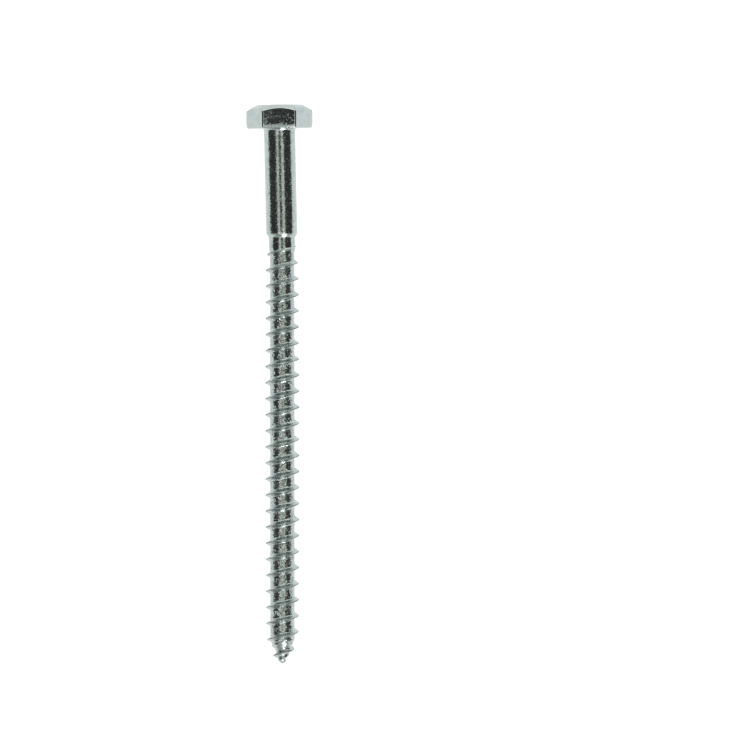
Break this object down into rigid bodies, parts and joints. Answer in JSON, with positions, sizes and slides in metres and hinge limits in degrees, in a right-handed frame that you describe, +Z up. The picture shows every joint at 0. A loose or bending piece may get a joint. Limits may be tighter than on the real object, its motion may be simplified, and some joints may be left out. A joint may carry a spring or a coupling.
{
  "type": "coach screw",
  "caption": "Hexagon head coach screw for wood, zinc plated, with a plain shank, a coarse right-hand thread and a gimlet point.",
  "frame": {"origin": "centre of the bearing face under the head, on the axis of the screw", "axes": "+Y towards the head along the lying screw, +Z up; the axis dips towards the point by 1.35 degrees, as the screw lies on a flat of its head and on its thread"},
  "size_m": [0.0148, 0.1254, 0.0131],
  "materials": {
    "zinc_steel": "bright zinc plating, semi-gloss, slightly mottled"
  },
  "bodies": {
    "root": {"coach_screw": "zinc_steel"}
  },
  "joints": []
}
